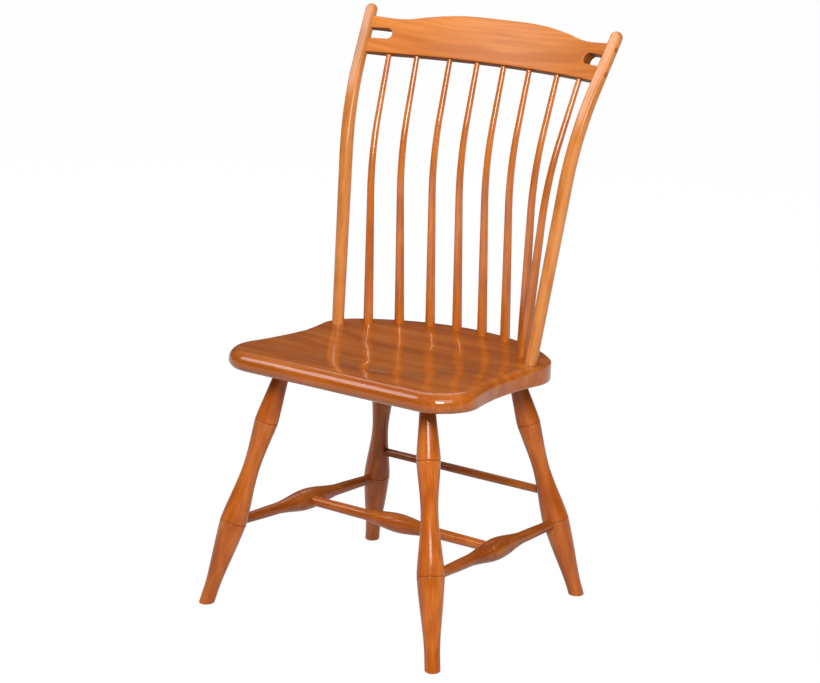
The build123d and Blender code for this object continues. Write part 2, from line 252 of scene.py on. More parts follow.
@dataclass(frozen=True)
class LacqueredWood:
    """Cherry, stained warm brown, rubbed down and sprayed with a semi-gloss lacquer.

    The eye sees long, low contrast streaks along the grain, faint growth rings where the tool or the
    curve of a board cuts through them, short dark pores, and a clear coat that mirrors softly.
    Sizes are millimetres across and along the grain.
    """

    name: str
    pale: str
    middle: str
    dark: str
    stain_and_shade_colour: str = "#6A3212"
    # Where nothing is scored or slotted, nothing is darkened: no stain in scored lines and no painted shade.
    stain_and_shade_share: float = 0.0
    tone_stops: Triple = (0.36, 0.5, 0.64)
    streak: Pair = (3.0, 120.0)
    drift: Pair = (20.0, 75.0)
    # Octaves of the drift, the streaks, the pores and the waves
    octaves: tuple[float, float, float, float] = (2.0, 4.0, 1.0, 0.0)
    streak_share: float = 0.3
    ring_spacing: float = 5.5
    ring_wander: float = 14.0
    ring_share: float = 0.04
    # Real pores are a tenth as wide; these are as coarse as they need to be to show.
    pore: Pair = (0.9, 11.0)
    pore_edge: Pair = (0.6, 0.75)
    pore_share: float = 0.12
    pore_depth: float = 0.1
    pore_strength: float = 0.25
    roughness: float = 0.45
    roughness_spread: float = 0.16
    ior: float = 1.5
    specular: float = 0.05
    coat: float = 0.5
    coat_roughness: float = 0.14
    coat_ior: float = 1.5
    wave: float = 0.0
    wave_length: float = 48.0

    def material(self) -> bpy.types.Material:
        """Build the material.

        Returns:
            The material, which reads the grain attribute of the piece that wears it.
        """
        made = bare_material(self.name)
        tree = made.node_tree
        grain = add(tree, "ShaderNodeAttribute", attribute_name="grain").outputs["Vector"]

        # Noise stretched along the grain, about 0.5 on average
        sizes = [self.drift, self.streak, self.pore]
        if self.wave:
            sizes.append((self.wave_length, self.wave_length))
        patterns = []
        for (width, length), octaves in zip(sizes, self.octaves):
            across, along = 1 / (MM * width), 1 / (MM * length)
            place = add(tree, "ShaderNodeVectorMath", {0: grain, 1: (across, across, along)},
                        operation="MULTIPLY")
            noise = {"Vector": place, "Scale": 1.0, "Detail": octaves}
            patterns.append(add(tree, "ShaderNodeTexNoise", noise))
        drift, streak, pore, *rubbed = patterns

        # Growth rings about the heart of the tree, made uneven by the drift
        heart = add(tree, "ShaderNodeVectorMath", {0: grain, 1: (1.0, 1.0, 0.0)}, operation="MULTIPLY")
        radius = add(tree, "ShaderNodeVectorMath", {0: heart}, operation="LENGTH").outputs["Value"]
        wander = add(tree, "ShaderNodeMath", {0: drift, 1: self.ring_wander * MM, 2: radius},
                     operation="MULTIPLY_ADD")
        turns = add(tree, "ShaderNodeMath", {0: wander, 1: 2 * math.pi / (self.ring_spacing * MM)},
                    operation="MULTIPLY")
        ring = add(tree, "ShaderNodeMath", {0: turns}, operation="SINE")

        # One tone from all the patterns
        tone = add(tree, "ShaderNodeMath", {0: streak, 1: self.streak_share}, operation="MULTIPLY")
        for pattern, share in ((drift, 1 - self.streak_share), (ring, self.ring_share / 2)):
            tone = add(tree, "ShaderNodeMath", {0: pattern, 1: share, 2: tone}, operation="MULTIPLY_ADD")
        ramp = add(tree, "ShaderNodeValToRGB", {0: tone})
        stops = ramp.color_ramp.elements
        stops.new(self.tone_stops[1])
        for stop, place, colour in zip(stops, self.tone_stops, (self.dark, self.middle, self.pale)):
            stop.position = place
            stop.color = linear(colour)

        # Pores are short dark dashes that the lacquer doesn't quite fill
        low, high = self.pore_edge
        dash = add(tree, "ShaderNodeMapRange", {0: pore, 1: low, 2: high, 3: 0.0, 4: self.pore_share})
        colour = add(tree, "ShaderNodeMix", {0: dash, 6: ramp, 7: linear(self.dark)},
                     data_type="RGBA").outputs[2]
        gloss = add(tree, "ShaderNodeMath", {0: streak, 1: self.roughness_spread,
                                             2: self.roughness - self.roughness_spread / 2},
                    operation="MULTIPLY_ADD")
        relief = {"Strength": self.pore_strength, "Distance": self.pore_depth * MM, "Height": dash}
        surface = {"Roughness": gloss, "IOR": self.ior, "Specular IOR Level": self.specular,
                   "Coat Weight": self.coat, "Coat Roughness": self.coat_roughness, "Coat IOR": self.coat_ior}
        if self.stain_and_shade_share:
            # Stain gathers in scored lines, and the sprayed lacquer hardly reaches them; in the crest's slots
            # and along its lower edge the same darkening is painted shade, and the coat is left off there too
            groove = add(tree, "ShaderNodeAttribute", attribute_name="groove").outputs["Fac"]
            stain = add(tree, "ShaderNodeMath", {0: groove, 1: self.stain_and_shade_share}, operation="MULTIPLY")
            colour = add(tree, "ShaderNodeMix", {0: stain, 6: colour, 7: linear(self.stain_and_shade_colour)},
                         data_type="RGBA").outputs[2]
            surface["Coat Weight"] = add(tree, "ShaderNodeMath", {0: groove, 1: -self.coat, 2: self.coat},
                                         operation="MULTIPLY_ADD")
        if rubbed:
            # Low waves left by rubbing out by hand, which bend what the coat mirrors
            waves = add(tree, "ShaderNodeBump",
                        {"Strength": 1.0, "Distance": self.wave * MM, "Height": rubbed[0]})
            relief["Normal"] = surface["Coat Normal"] = waves
        surface["Normal"] = add(tree, "ShaderNodeBump", relief, invert=True)
        surface["Base Color"] = colour
        shader = add(tree, "ShaderNodeBsdfPrincipled", surface)
        add(tree, "ShaderNodeOutputMaterial", {"Surface": shader})
        return made


@dataclass(frozen=True)
class ScrewSteel:
    """Plain steel wire, drawn and thread rolled: a grey metal with fine lines from the drawing."""

    name: str = "drawn_steel"
    colour: str = "#9C9A96"
    line: float = 0.4
    roughness: Pair = (0.25, 0.5)

    def material(self) -> bpy.types.Material:
        """Build the material.

        Returns:
            The material, which reads the object's own coordinates.
        """
        made = bare_material(self.name)
        tree = made.node_tree
        place = add(tree, "ShaderNodeTexCoord").outputs["Object"]
        lines = add(tree, "ShaderNodeTexNoise",
                    {"Vector": place, "Scale": 1 / (self.line * MM), "Detail": 2.0})
        smoothest, roughest = self.roughness
        gloss = add(tree, "ShaderNodeMapRange", {0: lines, 3: smoothest, 4: roughest})
        shader = add(tree, "ShaderNodeBsdfPrincipled",
                     {"Base Color": linear(self.colour), "Metallic": 1.0, "Roughness": gloss})
        add(tree, "ShaderNodeOutputMaterial", {"Surface": shader})
        return made


@dataclass
class StickAxis:
    """Axis of a stick, with what the sweep needs at each of its points.

    A point has a place, a direction to the side and one to the front of the section, a distance along the
    grain, a radius, the wood left in front of the axis by a shave, whether its ring lies level, and how
    much stain has pooled there in a groove.
    """

    middle: list[np.ndarray] = field(default_factory=list)
    side: list[np.ndarray] = field(default_factory=list)
    front: list[np.ndarray] = field(default_factory=list)
    along: list[float] = field(default_factory=list)
    radius: list[float] = field(default_factory=list)
    left: list[float] = field(default_factory=list)
    level: list[float] = field(default_factory=list)
    groove: list[float] = field(default_factory=list)

    def point(self, middle: np.ndarray, side: np.ndarray, front: np.ndarray, along: float, radius: float,
              left: Optional[float] = None, level: bool = False, groove: float = 0.0) -> None:
        """Add a point.

        Args:
            middle: Place on the axis.
            side: Direction to the side of the section.
            front: Direction to the front of the section.
            along: Distance along the grain.
            radius: Radius of the section.
            left: Wood left in front of the axis, or None for a round section.
            level: Whether the ring lies level with the floor.
            groove: Share of stain pooled in a groove.
        """
        self.middle.append(middle)
        self.side.append(side)
        self.front.append(front)
        self.along.append(along)
        self.radius.append(radius)
        self.left.append(radius if left is None else left)
        self.level.append(float(level))
        self.groove.append(groove)

    def mesh(self, name: str) -> bpy.types.Mesh:
        """Make the axis a line of vertices that carries the values in metres.

        Args:
            name: Name of the mesh.

        Returns:
            The mesh.
        """
        places = (np.array(self.middle) + ROW_SHIFT) * MM
        line = bpy.data.meshes.new(name)
        line.from_pydata(places.tolist(), [(i, i + 1) for i in range(len(places) - 1)], [])
        store(line, "middle", places)
        for word, values, scale in (("side", self.side, 1.0), ("front", self.front, 1.0),
                                    ("along", self.along, MM), ("thick", self.radius, MM),
                                    ("left", self.left, MM), ("level", self.level, 1.0),
                                    ("groove", self.groove, 1.0)):
            store(line, word, np.array(values) * scale)
        return line


def seat_piece(piece: bpy.types.Object, nodes: Sequence[str]) -> None:
    """Tell the frame what a piece rides on and stands for.

    Args:
        piece: Finished piece.
        nodes: CAD nodes that the piece stands for.
    """
    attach(piece, BODY)
    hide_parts(*nodes)
    log.info("%s: %d faces", piece.name, len(piece.data.polygons))


@dataclass
class NodeSweep:
    """Geometry nodes that sweep a round or shaved section along the axis of a stick."""

    facets: int = 72
    flat_facets: int = 16
    crease: float = 0.6
    corner_round: float = 2.5
    # A section with less than this share of its radius left in front counts as shaved.
    shaved_share: float = 0.999

    def __post_init__(self) -> None:
        """Build the tree."""
        inputs = {"Axis": "Geometry", "Facets": "Int", "Flat share": "Float", "Place in tree": "Vector",
                  "Finish": "Material"}
        tree = self.tree = bare_tree("stick_sweep", inputs, "Stick")
        given = add(tree, "NodeGroupInput").outputs
        turn, radius, left, level, along, middle, side, front = (
            add(tree, "GeometryNodeInputNamedAttribute", {"Name": word}, data_type=kind)
            for kind, words in (("FLOAT", ("turn", "thick", "left", "level", "along")),
                                ("FLOAT_VECTOR", ("middle", "side", "front")))
            for word in words)

        # A ring of vertices for each point of the axis, numbered by how far round they are
        ring = add(tree, "GeometryNodeCurvePrimitiveCircle", {"Resolution": given["Facets"], "Radius": MM})
        share = add(tree, "GeometryNodeSplineParameter").outputs["Factor"]
        ring = add(tree, "GeometryNodeStoreNamedAttribute",
                   {"Geometry": ring, "Name": "turn", "Value": share}, data_type="FLOAT", domain="POINT")
        curve = add(tree, "GeometryNodeMeshToCurve", {"Mesh": given["Axis"]})
        skin = add(tree, "GeometryNodeCurveToMesh",
                   {"Curve": curve, "Profile Curve": ring, "Fill Caps": True})

        # Angle of each vertex: the first share of them lies across the shave, the rest round the back
        flat = given["Flat share"]
        kept = add(tree, "ShaderNodeMath", {0: left, 1: radius}, operation="DIVIDE")
        kept = add(tree, "ShaderNodeMath", {0: kept, 1: 1.0}, operation="MINIMUM")
        shave = add(tree, "ShaderNodeMath", {0: kept}, operation="ARCCOSINE")
        least = add(tree, "ShaderNodeMath", {0: flat, 1: math.pi}, operation="MULTIPLY")
        corner = add(tree, "ShaderNodeMath", {0: shave, 1: least}, operation="MAXIMUM")
        near = add(tree, "ShaderNodeMath", {0: corner, 1: -1.0}, operation="MULTIPLY")
        far = add(tree, "ShaderNodeMath", {0: 2 * math.pi, 1: corner}, operation="SUBTRACT")
        across = add(tree, "ShaderNodeMapRange", {0: turn, 1: 0.0, 2: flat, 3: near, 4: corner})
        behind = add(tree, "ShaderNodeMapRange", {0: turn, 1: flat, 2: 1.0, 3: corner, 4: far})
        angle = add(tree, "ShaderNodeMath", {0: across, 1: behind}, operation="ADD")
        angle = add(tree, "ShaderNodeMath", {0: angle, 1: corner}, operation="SUBTRACT")

        # Place in the section, with a small round at the corners of the shave
        sine = add(tree, "ShaderNodeMath", {0: angle}, operation="SINE")
        cosine = add(tree, "ShaderNodeMath", {0: angle}, operation="COSINE")
        sideways = add(tree, "ShaderNodeMath", {0: radius, 1: sine}, operation="MULTIPLY")
        forward = add(tree, "ShaderNodeMath", {0: radius, 1: cosine}, operation="MULTIPLY")
        limit = add(tree, "ShaderNodeMath", {0: radius, 1: self.shaved_share}, operation="MULTIPLY")
        shaved = add(tree, "ShaderNodeMath", {0: left, 1: limit}, operation="LESS_THAN")
        soft = add(tree, "ShaderNodeMath", {0: shaved, 1: self.corner_round * MM}, operation="MULTIPLY")
        forward = add(tree, "ShaderNodeMath", {0: forward, 1: left, 2: soft}, operation="SMOOTH_MIN")

        # Place of each vertex, and a level cut where the axis asks for one
        to_side = add(tree, "ShaderNodeVectorMath", {0: side, "Scale": sideways}, operation="SCALE")
        to_front = add(tree, "ShaderNodeVectorMath", {0: front, "Scale": forward}, operation="SCALE")
        reach = add(tree, "ShaderNodeVectorMath", {0: to_side, 1: to_front}, operation="ADD")
        place = add(tree, "ShaderNodeVectorMath", {0: middle, 1: reach}, operation="ADD")
        heading = add(tree, "ShaderNodeVectorMath", {0: side, 1: front}, operation="CROSS_PRODUCT")
        inward = add(tree, "ShaderNodeVectorMath", {0: middle, 1: place}, operation="SUBTRACT")
        drop, rise = (add(tree, "ShaderNodeSeparateXYZ", {0: way}).outputs[2] for way in (inward, heading))
        slide = add(tree, "ShaderNodeMath", {0: drop, 1: rise}, operation="DIVIDE")
        slide = add(tree, "ShaderNodeMath", {0: slide, 1: level}, operation="MULTIPLY")
        shift = add(tree, "ShaderNodeVectorMath", {0: heading, "Scale": slide}, operation="SCALE")
        place = add(tree, "ShaderNodeVectorMath", {0: place, 1: shift}, operation="ADD")

        # Grain along the stick, then the faces, smooth but for their sharp edges
        grain = add(tree, "ShaderNodeCombineXYZ", {0: sideways, 1: forward, 2: along})
        grain = add(tree, "ShaderNodeVectorMath", {0: grain, 1: given["Place in tree"]}, operation="ADD")
        skin = add(tree, "GeometryNodeStoreNamedAttribute",
                   {"Geometry": skin, "Name": "grain", "Value": grain},
                   data_type="FLOAT_VECTOR", domain="POINT")
        skin = add(tree, "GeometryNodeSetPosition", {"Geometry": skin, "Position": place})
        skin = add(tree, "GeometryNodeSetShadeSmooth",
                   {"Geometry": skin, "Shade Smooth": True}, domain="FACE")
        fold = add(tree, "GeometryNodeInputMeshEdgeAngle")
        sharp = add(tree, "FunctionNodeCompare", {0: fold, 1: self.crease}, operation="GREATER_THAN")
        skin = add(tree, "GeometryNodeSetShadeSmooth",
                   {"Geometry": skin, "Selection": sharp, "Shade Smooth": False}, domain="EDGE")
        skin = add(tree, "GeometryNodeRealizeInstances", {"Geometry": skin})
        skin = add(tree, "GeometryNodeSetMaterial", {"Geometry": skin, "Material": given["Finish"]})
        add(tree, "NodeGroupOutput", {0: skin})

    def sweep(self, name: str, axis: StickAxis, finish: bpy.types.Material,
              cut: Sequence[float]) -> bpy.types.Object:
        """Make a stick from its axis.

        Args:
            name: Name of the piece.
            axis: Axis of the stick.
            finish: Material.
            cut: Where in the tree the stick was cut, so that no two have the same figure.

        Returns:
            The finished piece.
        """
        values = {"Facets": self.facets, "Flat share": self.flat_facets / self.facets,
                  "Place in tree": tuple(c * MM for c in cut), "Finish": finish}
        return grow(name, axis.mesh(name), self.tree, values)


@dataclass
class Turning:
    """Profile cut on the lathe.

    A station has a distance, a radius, and the slopes before and after it. The shape of a scored line is
    given by places across it, in half widths, and the share of its depth at each.
    """

    stations: list[tuple[float, float, float, float]]
    scores: list[float] = field(default_factory=list)
    score_half_width: float = 1.2
    score_depth: float = 1.1
    score_shape: tuple[Pair, ...] = (
        (-2.0, 0.0), (-1.25, 0.0), (-0.85, 0.2), (-0.15, 0.95),
        (0.15, 0.95), (0.85, 0.2), (1.25, 0.0), (2.0, 0.0))
    score_room: float = 2.2
    step: float = 3.0

    def radius(self, distance: float) -> float:
        """Radius of the smooth profile.

        Args:
            distance: Distance from the start of the axis.

        Returns:
            The radius there.
        """
        for (z0, r0, _, m0), (z1, r1, m1, _) in zip(self.stations, self.stations[1:]):
            if distance <= z1:
                span = z1 - z0
                return float(eased((distance - z0) / span, r0, m0 * span, r1, m1 * span))
        return self.stations[-1][1]

    def samples(self, finish: float) -> list[Triple]:
        """Distances, radii and pooled stain, close enough together for a smooth piece.

        Args:
            finish: Distance at which the samples end.

        Returns:
            Distance, radius and stain, from the first station on.
        """
        start, lip = self.stations[0][0], self.score_half_width
        count = math.ceil((finish - start) / self.step)
        plain = [start + (finish - start) * i / count for i in range(count + 1)]
        kept = [d for d in plain if all(abs(d - s) > self.score_room * lip for s in self.scores)]
        found = [(d, self.radius(d), 0.0) for d in kept]
        for score in self.scores:
            for offset, depth in self.score_shape:
                distance = score + offset * lip
                found.append((distance, self.radius(distance) - depth * self.score_depth, depth))
        return sorted(found)


def straight_axis(start: np.ndarray, finish: np.ndarray, samples: Sequence[Triple]) -> StickAxis:
    """Axis of a turned piece.

    Args:
        start: Point at distance 0.
        finish: Point that the axis runs towards.
        samples: Distances, radii and pooled stain.

    Returns:
        The axis.
    """
    heading = unit(finish - start)
    front = unit(np.cross(heading, UP if abs(heading[2]) < UPRIGHT else BACKWARD))
    side = np.cross(front, heading)
    axis = StickAxis()
    for distance, radius, groove in samples:
        axis.point(start + heading * distance, side, front, distance, radius, groove=groove)
    return axis


@dataclass
class Undercarriage:
    """Four turned legs of one pattern and the stretchers between them."""

    leg_finish: bpy.types.Material
    # Darker copy of the leg finish, as painted shade on the side and rear stretchers
    painted_shade_bar_finish: bpy.types.Material
    sweep: NodeSweep
    seat_under: float
    seat_fall: float
    leg_places: dict[str, tuple[Pair, Pair]] = field(default_factory=lambda: {
        "front": ((155.1, -130.5), (248.9, -233.2)), "back": ((140.3, 132.8), (231.3, 206.5))})
    leg_tenon: float = 20.0
    leg_neck: Pair = (7.0, 0.05)
    leg_top_radius: float = 13.2
    upper_ring: Pair = (98.0, 20.5)
    waist: Pair = (181.0, 14.7)
    lower_ring: Pair = (290.0, 23.5)
    # The lower ring of a leg was cut a little nearer the seat than the pattern has it.
    ring_slip: dict[str, float] = field(default_factory=lambda: {"front": -3.0, "back": -9.0})
    ring_slope: float = 0.06
    taper: Triple = (350.0, 18.2, -0.105)
    taper_end: float = 418.0
    foot_radius: float = 13.2
    foot_chamfer: float = 1.2
    # Share of the foot's radius that the rings of the turning keep above the level cut
    foot_clear: float = 0.7
    side_heights: Pair = (144.8, 134.2)
    side_end_radius: float = 8.9
    side_swell: tuple[Pair, ...] = ((0.0, 19.2), (85.0, 10.3))
    side_score_spread: float = 25.0
    centre_end_radius: float = 9.0
    centre_swell: tuple[Pair, ...] = ((0.0, 17.0), (82.0, 9.6))
    rear_height: float = 190.5
    rear_end_radius: float = 7.2
    rear_swell: tuple[Pair, ...] = ((0.0, 7.6),)
    # Where in the tree each was cut: across, through and along the grain
    leg_cut: Triple = (31.0, 47.0, 620.0)
    side_cut: Triple = (22.0, 64.0, 300.0)
    centre_cut: Triple = (55.0, 20.0, 90.0)
    rear_cut: Triple = (40.0, -35.0, 1300.0)

    def leg_ends(self, end: str, side: Side) -> tuple[np.ndarray, np.ndarray]:
        """Points of a leg's axis at the underside of the seat and on the floor.

        Args:
            end: Front or back.
            side: Side of the chair.

        Returns:
            Upper and lower point.
        """
        (top_x, top_y), (foot_x, foot_y) = self.leg_places[end]
        upper = np.array([side.value * top_x, top_y, self.seat_under - top_y * math.tan(self.seat_fall)])
        return upper, np.array([side.value * foot_x, foot_y, 0.0])

    def on_leg(self, end: str, side: Side, height: float) -> np.ndarray:
        """Point on a leg's axis.

        Args:
            end: Front or back.
            side: Side of the chair.
            height: Height above the floor.

        Returns:
            The point.
        """
        upper, lower = self.leg_ends(end, side)
        return lower + (upper - lower) * (height / upper[2])

    def leg(self, end: str, side: Side) -> bpy.types.Object:
        """Turn a leg and cut its foot level.

        Args:
            end: Front or back.
            side: Side of the chair.

        Returns:
            The leg.
        """
        upper, lower = self.leg_ends(end, side)
        length = float(np.linalg.norm(lower - upper))
        (neck, neck_slope), top, foot = self.leg_neck, self.leg_top_radius, self.foot_radius
        steep, lower_ring = self.ring_slope, self.lower_ring[0] + self.ring_slip[end]
        profile = Turning([(-self.leg_tenon, top, 0.0, 0.0), (neck, top, 0.0, neck_slope),
                           (*self.upper_ring, steep, -steep), (*self.waist, 0.0, 0.0),
                           (lower_ring, self.lower_ring[1], steep, -steep), (*self.taper, self.taper[2]),
                           (self.taper_end, foot, 0.0, 0.0), (2 * length, foot, 0.0, 0.0)],
                          [self.upper_ring[0], lower_ring])
        axis = straight_axis(upper, lower, profile.samples(length - self.foot_clear * foot))
        to_side, to_front = axis.side[0], axis.front[0]
        for drop, radius in ((self.foot_chamfer, foot), (0.0, foot - self.foot_chamfer)):
            distance = length - drop * length / upper[2]
            place = upper + (lower - upper) * (distance / length)
            axis.point(place, to_side, to_front, distance, radius, level=True)
        turn = side.value * (1 if end == "front" else 2)
        return self.sweep.sweep(f"turned_leg_{end}_{side.word}", axis, self.leg_finish,
                                np.array(self.leg_cut) * [turn, 1, turn])

    def bar(self, name: str, ends: Sequence[np.ndarray], straight: float, end_radius: float,
            swell: Sequence[Pair], cut: Sequence[float], finish: bpy.types.Material,
            spread: float = 0.0) -> bpy.types.Object:
        """Turn a stretcher that is thickest in the middle.

        Args:
            name: Name of the piece.
            ends: Points in the sockets at both ends.
            straight: Length of the plain part at each end.
            end_radius: Radius of the plain part.
            swell: Places from the middle out, with the radius at each.
            cut: Where in the tree it was cut.
            finish: Material.
            spread: Distance of the scored lines from the middle, or 0 for none.

        Returns:
            The stretcher.
        """
        start, stop = ends
        half = float(np.linalg.norm(stop - start)) / 2
        left = [(0.0, end_radius), (straight, end_radius)]
        left += [(half - away, radius) for away, radius in reversed(swell)]
        right = [(2 * half - distance, radius) for distance, radius in reversed(left[:-1])]
        profile = Turning([(distance, radius, 0.0, 0.0) for distance, radius in left + right],
                          [half - spread, half + spread] if spread else [])
        return self.sweep.sweep(name, straight_axis(start, stop, profile.samples(2 * half)), finish, cut)

    def build(self) -> None:
        """Make the legs and the stretchers."""
        thick = self.lower_ring[1]
        middles = []
        for side in (Side.LEFT, Side.RIGHT):
            for end in self.leg_places:
                seat_piece(self.leg(end, side), [f"leg_{end}_{side.word}"])
            ends = [self.on_leg(end, side, height) for end, height in zip(self.leg_places, self.side_heights)]
            middles.append((ends[0] + ends[1]) / 2)
            bar = self.bar(f"turned_side_stretcher_{side.word}", ends, thick, self.side_end_radius,
                           self.side_swell, np.array(self.side_cut) * [side.value, 1, side.value],
                           self.painted_shade_bar_finish, self.side_score_spread)
            seat_piece(bar, [f"side_stretcher_{side.word}"])
        bar = self.bar("turned_centre_stretcher", middles, self.side_swell[0][1], self.centre_end_radius,
                       self.centre_swell, self.centre_cut, self.leg_finish)
        seat_piece(bar, ["centre_stretcher"])
        rear = [self.on_leg("back", side, self.rear_height) for side in (Side.LEFT, Side.RIGHT)]
        bar = self.bar("turned_rear_stretcher", rear, thick, self.rear_end_radius, self.rear_swell,
                       self.rear_cut, self.painted_shade_bar_finish)
        seat_piece(bar, ["rear_stretcher"])


@dataclass
class BentLine:
    """Line that runs straight from its base, bends backward in one plane, and runs straight to its top.

    The planes of the bends stand upright and fan out from a line far in front of the chair.
    """

    base: np.ndarray
    top: np.ndarray
    straight: float
    bend: float
    turn: float
    fan_radius: float = 2700.0

    def __post_init__(self) -> None:
        """Find the plane of the bend, the lean at the base and the length."""
        run = self.top - self.base
        self.back = unit(BACKWARD + np.array([self.top[0] / self.fan_radius, 0.0, 0.0]))
        depth = float(run @ self.back)
        rise = run - self.back * depth
        self.up = unit(rise)
        tangent = self.bend * math.tan(self.turn / 2)
        low, span = self.straight + tangent, float(np.linalg.norm(run))
        high = math.sqrt(span ** 2 - (low * math.sin(self.turn)) ** 2) - low * math.cos(self.turn)
        self.lean = math.atan2(depth, np.linalg.norm(rise)) - math.asin(high * math.sin(self.turn) / span)
        self.bend_end = self.straight + self.bend * self.turn
        self.length = self.bend_end + high - tangent

    def at(self, s: float) -> tuple[np.ndarray, np.ndarray, np.ndarray]:
        """Place, side and front of the section at a distance from the base.

        Args:
            s: Distance, below 0 or past the top along the straight run on.

        Returns:
            Place on the line, direction to the side and direction to the front.
        """
        low, high = min(s, self.straight), max(0.0, s - self.bend_end)
        end = self.lean + (min(max(s, self.straight), self.bend_end) - self.straight) / self.bend
        heading = self.back * math.sin(end) + self.up * math.cos(end)
        front = self.up * math.sin(end) - self.back * math.cos(end)
        along_back = low * math.sin(self.lean) + self.bend * (math.cos(self.lean) - math.cos(end))
        along_up = low * math.cos(self.lean) + self.bend * (math.sin(end) - math.sin(self.lean))
        place = self.base + self.back * along_back + self.up * along_up + heading * high
        return place, np.cross(front, heading), front


@dataclass
class CrestBoard:
    """Bent board that leans back, with a swelling top edge and an open slot at each end."""

    low: float = 917.5
    place: float = 236.0
    lean: float = math.radians(31.0)
    bend: float = 785.0
    thickness: float = 19.0
    arm_thickness: float = 14.6
    arm_run: float = 45.0
    heights: tuple[Pair, ...] = ((0.0, 71.0), (102.0, 69.0), (150.0, 63.5), (186.0, 58.0), (262.3, 61.0))
    slot_end: float = 206.0
    slot_height: float = 31.8
    slot_width: float = 19.6
    edge_round: float = 3.2
    slot_round: float = 1.6
    bow_steps: int = 15
    face_spacing: float = 5.0
    round_steps: int = 4
    step: float = 3.0

    def sag(self, x: Numbers) -> Numbers:
        """How far the front face stands forward of its middle."""
        return self.bend - np.sqrt(self.bend ** 2 - np.square(x))

    def on_board(self, x: Numbers, height: Numbers) -> np.ndarray:
        """Places on the flat of the board for heights above the lower edge.

        Args:
            x: Places across.
            height: Heights on the front face.

        Returns:
            Pairs of places across and up the board.
        """
        x, height = np.broadcast_arrays(np.asarray(x, float), np.asarray(height, float))
        return np.stack([x, height / math.cos(self.lean) - self.sag(x) * math.sin(self.lean)], axis=-1)

    def height(self, flat: np.ndarray) -> np.ndarray:
        """Heights above the lower edge for places on the flat of the board."""
        return (flat[:, 1] + self.sag(flat[:, 0]) * math.sin(self.lean)) * math.cos(self.lean)

    def place_points(self, flat: np.ndarray, depth: np.ndarray) -> np.ndarray:
        """Carry places on the flat of the board to the chair.

        Args:
            flat: Pairs of places across and up the board.
            depth: Distances behind the front face of a board of even thickness.

        Returns:
            Points.
        """
        x, height = flat[:, 0], self.height(flat)
        thin = smooth((np.abs(x) - self.slot_end) / self.arm_run)
        depth = depth * (1 + thin * (self.arm_thickness / self.thickness - 1))
        out = x / self.bend
        points = np.stack([x, self.place + height * math.tan(self.lean) - self.sag(x), self.low + height],
                          axis=-1)
        through = np.stack([out * math.cos(self.lean), np.sqrt(1 - out ** 2) * math.cos(self.lean),
                            np.full_like(x, -math.sin(self.lean))], axis=-1)
        return points + through * depth[:, None]

    def top_height(self, x: np.ndarray) -> np.ndarray:
        """Height of the top edge, on a smooth curve through the set heights.

        Args:
            x: Places across.

        Returns:
            Heights.
        """
        places, values = np.array(self.heights).T
        places = np.concatenate([-places[:0:-1], places])
        values = np.concatenate([values[:0:-1], values])
        slopes = np.gradient(values, places)
        x = np.asarray(x, float)
        i = np.clip(np.searchsorted(places, x) - 1, 0, len(places) - 2)
        span = places[i + 1] - places[i]
        t = (x - places[i]) / span
        return eased(t, values[i], slopes[i] * span, values[i + 1], slopes[i + 1] * span)

    def outline(self, reach: float) -> tuple[np.ndarray, np.ndarray]:
        """Outline of the board, counter-clockwise from the lower left.

        Args:
            reach: How far the arms run from the middle.

        Returns:
            Places on the flat of the board, and how far each place of the edge is rounded.
        """
        def run(start: float, finish: float) -> np.ndarray:
            """Even steps from start up to, but not at, the finish."""
            count = math.ceil(abs(finish - start) / self.step)
            return start + (finish - start) * np.arange(count) / count

        half = self.slot_width / 2
        across = run(-reach, reach)
        bottom = self.on_board(across, 0.0)
        top = self.on_board(-across, self.top_height(-across))
        slot_x = run(reach, self.slot_end + half)
        slot_middle = self.on_board(slot_x, self.slot_height)
        turns = np.linspace(-math.pi / 2, -1.5 * math.pi, self.bow_steps)
        centre = self.on_board(self.slot_end + half, self.slot_height)
        bow = centre + half * np.stack([np.cos(turns), np.sin(turns)], axis=-1)
        slot = np.concatenate([slot_middle - [0.0, half], bow, slot_middle[::-1] + [0.0, half]])
        left = slot[::-1] * [-1.0, 1.0]
        points = np.concatenate([bottom, slot, top, left])
        rounds = np.concatenate([np.full(len(part), size) for part, size in (
            (bottom, self.edge_round), (slot, self.slot_round),
            (top, self.edge_round), (left, self.slot_round))])
        return points, rounds


